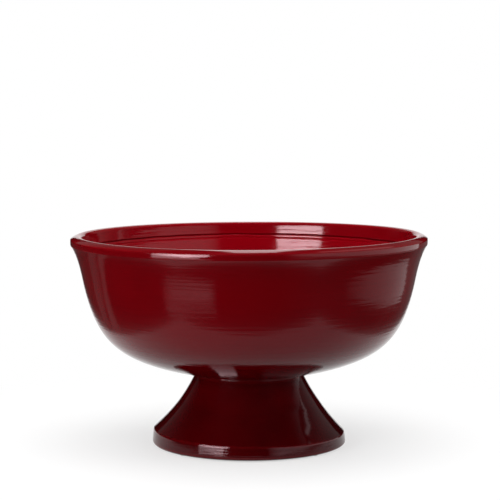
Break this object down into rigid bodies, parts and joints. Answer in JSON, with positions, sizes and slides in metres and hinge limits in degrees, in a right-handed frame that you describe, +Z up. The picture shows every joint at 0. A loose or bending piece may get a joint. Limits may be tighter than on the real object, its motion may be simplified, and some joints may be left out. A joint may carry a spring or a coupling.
{
  "type": "footed planter",
  "caption": "Wide round glazed ceramic bowl planter with a broad rim and inner ledge, on a hollow flared pedestal foot, with a pull-out drain plug.",
  "frame": {"origin": "on the floor, on the planter's axis, below the foot's pads", "axes": "+Z up along the axis of the bowl and the foot; X and Y point between the pads"},
  "size_m": [0.3, 0.3, 0.1781],
  "materials": {
    "red_glaze": "deep red gloss glaze",
    "plug_rubber": "moulded soft rubber, satin",
    "pad_rubber": "pale stick-on rubber, satin"
  },
  "bodies": {
    "planter": {"bowl": "red_glaze", "pedestal_foot": "red_glaze", "slip_seam": "red_glaze", "floor_pad_1": "pad_rubber", "floor_pad_2": "pad_rubber", "floor_pad_3": "pad_rubber", "floor_pad_4": "pad_rubber"},
    "plug": {"drain_plug": "plug_rubber"}
  },
  "joints": [
    {"name": "plug_pull", "type": "slide", "parent": "planter", "child": "plug", "axis": [0, 0, 1], "range_m": [0, 0.13]}
  ]
}
